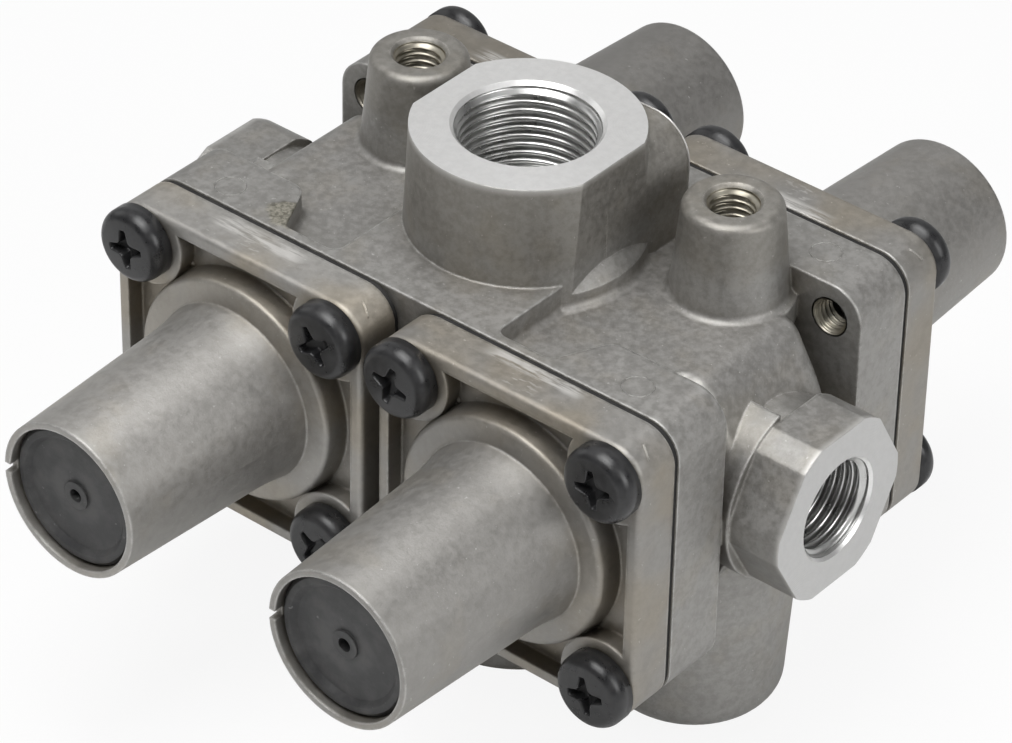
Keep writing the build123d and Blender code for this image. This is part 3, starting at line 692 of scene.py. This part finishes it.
def black_rubber():
    """Matt rubber with a faint bloom."""
    finish = Finish("black_rubber_diaphragms")
    bloom = finish.noise(300.0, 3.0, 0.6)
    finish.link(finish.colours(finish.span(bloom, 0.35, 0.7), (0.008, 0.008, 0.008), (0.020, 0.019, 0.018)),
                finish.shader.inputs["Base Color"])
    finish.link(finish.span(bloom, 0.3, 0.7, 0.62, 0.78), finish.shader.inputs["Roughness"])
    finish.link(finish.relief(finish.noise(2500.0), 0.05 * MM, None, 0.5), finish.shader.inputs["Normal"])
    return finish.material


rubber_finish = black_rubber()
for cell in CELLS:
    repaint(f"{cell}_diaphragm", rubber_finish)

# Adjusting screws, springs and spring plates
# They are shut in by the bonnets and the plugs: zinc plated adjusters, oiled spring wire
# and plates turned from aluminium.


def inner_metal(name, dark, light, roughness, scoring):
    """Plain metal with scoring round the bonnet's axis, which lies along Y."""
    finish = Finish(name)
    cloud = finish.noise(400.0, 3.0, 0.6)
    lines = finish.noise(900.0, 2.0, 0.5, stretch=scoring)
    finish.link(finish.colours(finish.span(cloud, 0.3, 0.7), dark, light), finish.shader.inputs["Base Color"])
    finish.link(finish.span(lines, 0.3, 0.7, roughness, roughness + 0.12), finish.shader.inputs["Roughness"])
    finish.link(finish.relief(lines, 0.02 * MM, None, 0.4), finish.shader.inputs["Normal"])
    finish.shader.inputs["Metallic"].default_value = 1.0
    return finish.material


inner_finishes = {
    "adjusting_screw": inner_metal(
        "zinc_plated_steel_adjusters", (0.42, 0.41, 0.38), (0.58, 0.57, 0.54), 0.32, (1, 6, 1)
    ),
    "main_spring": inner_metal("oiled_spring_wire", (0.24, 0.25, 0.27), (0.38, 0.39, 0.41), 0.38, (1, 1, 1)),
    "spring_plate": inner_metal(
        "turned_aluminium_spring_plates", (0.52, 0.52, 0.52), (0.66, 0.66, 0.66), 0.30, (1, 8, 1)
    ),
}
for cell in CELLS:
    for kind, finish in inner_finishes.items():
        repaint(f"{cell}_{kind}", finish)

# Table
# White paper under the valve. The lens sees it nearly plain white, with a faint shadow of the valve;
# in reflections only a small share of it is plain white.
TABLE_REACH = 4
PAPER_WHITE_FOR_LENS, PAPER_WHITE_IN_GLOSS = 0.90, 0.16
floor_mesh = bpy.data.meshes.new("table_top")
corners = [(x * TABLE_REACH, y * TABLE_REACH, 0) for x, y in ((-1, -1), (1, -1), (1, 1), (-1, 1))]
floor_mesh.from_pydata(corners, [], [(0, 1, 2, 3)])
floor = bpy.data.objects.new("table_top", floor_mesh)
bpy.context.scene.collection.objects.link(floor)
table = bpy.data.materials.new("white_paper")
table.use_nodes = True
tree = table.node_tree
paper = tree.nodes["Principled BSDF"]
paper.inputs["Base Color"].default_value = (0.80, 0.80, 0.80, 1.0)
paper.inputs["Roughness"].default_value = 0.9
paper.inputs["Specular IOR Level"].default_value = 0.0
glow = tree.nodes.new("ShaderNodeEmission")
glow.inputs["Color"].default_value = (1.0, 1.0, 1.0, 1.0)


def background_share(tree, for_lens, for_gloss):
    """How much of the plain white background a ray sees: one share for the lens, one in reflections."""
    rays = tree.nodes.new("ShaderNodeLightPath")
    shares = []
    for outlet, share in (("Is Camera Ray", for_lens), ("Is Glossy Ray", for_gloss)):
        node = tree.nodes.new("ShaderNodeMath")
        node.operation = "MULTIPLY"
        node.inputs[1].default_value = share
        tree.links.new(rays.outputs[outlet], node.inputs[0])
        shares.append(node)
    total = tree.nodes.new("ShaderNodeMath")
    total.operation = "MAXIMUM"
    tree.links.new(shares[0].outputs[0], total.inputs[0])
    tree.links.new(shares[1].outputs[0], total.inputs[1])
    return total.outputs[0]


fade = tree.nodes.new("ShaderNodeMixShader")
tree.links.new(background_share(tree, PAPER_WHITE_FOR_LENS, PAPER_WHITE_IN_GLOSS), fade.inputs["Fac"])
tree.links.new(paper.outputs[0], fade.inputs[1])
tree.links.new(glow.outputs[0], fade.inputs[2])
tree.links.new(fade.outputs[0], tree.nodes["Material Output"].inputs["Surface"])
floor_mesh.materials.append(table)

# Room
# A pale backdrop stands behind the valve and the rest of the room is dim;
# the lens sees plain white everywhere.
BACKDROP = Vector((-0.595, 0.733, 0.330))
BACKDROP_LIGHT, ROOM_LIGHT, BACKDROP_FALLOFF = 0.40, 0.06, 3.0
ROOM_WHITE_FOR_LENS, ROOM_WHITE_IN_GLOSS = 1.0, 0.06
world = bpy.data.worlds.new("room")
bpy.context.scene.world = world
world.use_nodes = True
tree = world.node_tree
room = tree.nodes["Background"]
room.inputs["Color"].default_value = (1.0, 1.0, 1.0, 1.0)
toward = tree.nodes.new("ShaderNodeTexCoord")
facing = tree.nodes.new("ShaderNodeVectorMath")
facing.operation = "DOT_PRODUCT"
facing.inputs[1].default_value = BACKDROP
tree.links.new(toward.outputs["Generated"], facing.inputs[0])
ahead_only = tree.nodes.new("ShaderNodeMath")
ahead_only.operation = "MAXIMUM"
tree.links.new(facing.outputs["Value"], ahead_only.inputs[0])
falloff = tree.nodes.new("ShaderNodeMath")
falloff.operation = "POWER"
falloff.inputs[1].default_value = BACKDROP_FALLOFF
tree.links.new(ahead_only.outputs[0], falloff.inputs[0])
dim = tree.nodes.new("ShaderNodeMath")
dim.operation = "MULTIPLY_ADD"
dim.inputs[1].default_value, dim.inputs[2].default_value = BACKDROP_LIGHT, ROOM_LIGHT
tree.links.new(falloff.outputs[0], dim.inputs[0])
level = tree.nodes.new("ShaderNodeMix")
level.data_type = "FLOAT"
tree.links.new(background_share(tree, ROOM_WHITE_FOR_LENS, ROOM_WHITE_IN_GLOSS), level.inputs[0])
tree.links.new(dim.outputs[0], level.inputs[2])
level.inputs[3].default_value = 1.0
tree.links.new(level.outputs[0], room.inputs["Strength"])

# Lamps
# Four square softboxes: two over the valve, a weak one at its left and one at its right.
# They are weaker than plain studio light, which the pale base colours partly make up for.
SOFTBOX_SIDE = 0.35


def softbox(name, place, power):
    """Square soft lamp at a place in metres, turned towards the valve; power in watts."""
    data = bpy.data.lights.new(name, "AREA")
    data.shape, data.size, data.energy = "SQUARE", SOFTBOX_SIDE, power
    light = bpy.data.objects.new(name, data)
    light.location = place
    aim = Vector((0.0, 0.0, 0.05))
    light.rotation_euler = (aim - Vector(place)).to_track_quat("-Z", "Y").to_euler()
    bpy.context.scene.collection.objects.link(light)


softbox("softbox_over_the_front", (0.0, -0.25, 0.55), 1.95)
softbox("softbox_overhead", (0.0, 0.0, 0.60), 1.60)
softbox("softbox_at_the_left", (-0.60, -0.10, 0.35), 0.35)
softbox("softbox_at_the_right", (0.60, 0.0, 0.35), 1.60)

# Camera
# It stands as the photograph was taken, fitted to the valve's edges:
# a long lens about three quarters of a metre away, looking down from the front right.
AZIMUTH, ELEVATION, ROLL = (math.radians(v) for v in (39.090, 36.210, 1.233))
RANGE, SHIFT_RIGHT, SHIFT_UP = 747.52 * MM, 2.539 * MM, 3.173 * MM
FOCAL_PIXELS, PICTURE_WIDTH, SENSOR_WIDTH = 4938.2, 1012, 36.0
back = Vector((
    math.sin(AZIMUTH) * math.cos(ELEVATION),
    -math.cos(AZIMUTH) * math.cos(ELEVATION),
    math.sin(ELEVATION),
))
level_right = Vector((math.cos(AZIMUTH), math.sin(AZIMUTH), 0.0))
level_up = back.cross(level_right)
right = math.cos(ROLL) * level_right + math.sin(ROLL) * level_up
up = math.cos(ROLL) * level_up - math.sin(ROLL) * level_right
place = Vector((0.0, 0.0, AXIS_HEIGHT)) + back * RANGE - right * SHIFT_RIGHT - up * SHIFT_UP
view = Matrix((right, up, back)).transposed().to_4x4()
view.translation = place
camera = bpy.data.objects.new("camera", bpy.data.cameras.new("camera"))
camera.data.sensor_width = SENSOR_WIDTH
camera.data.lens = FOCAL_PIXELS / PICTURE_WIDTH * SENSOR_WIDTH
camera.data.clip_start, camera.data.clip_end = 0.05, 20.0
camera.matrix_world = view
bpy.context.scene.collection.objects.link(camera)
bpy.context.scene.camera = camera
bpy.context.scene.view_settings.view_transform = "Standard"
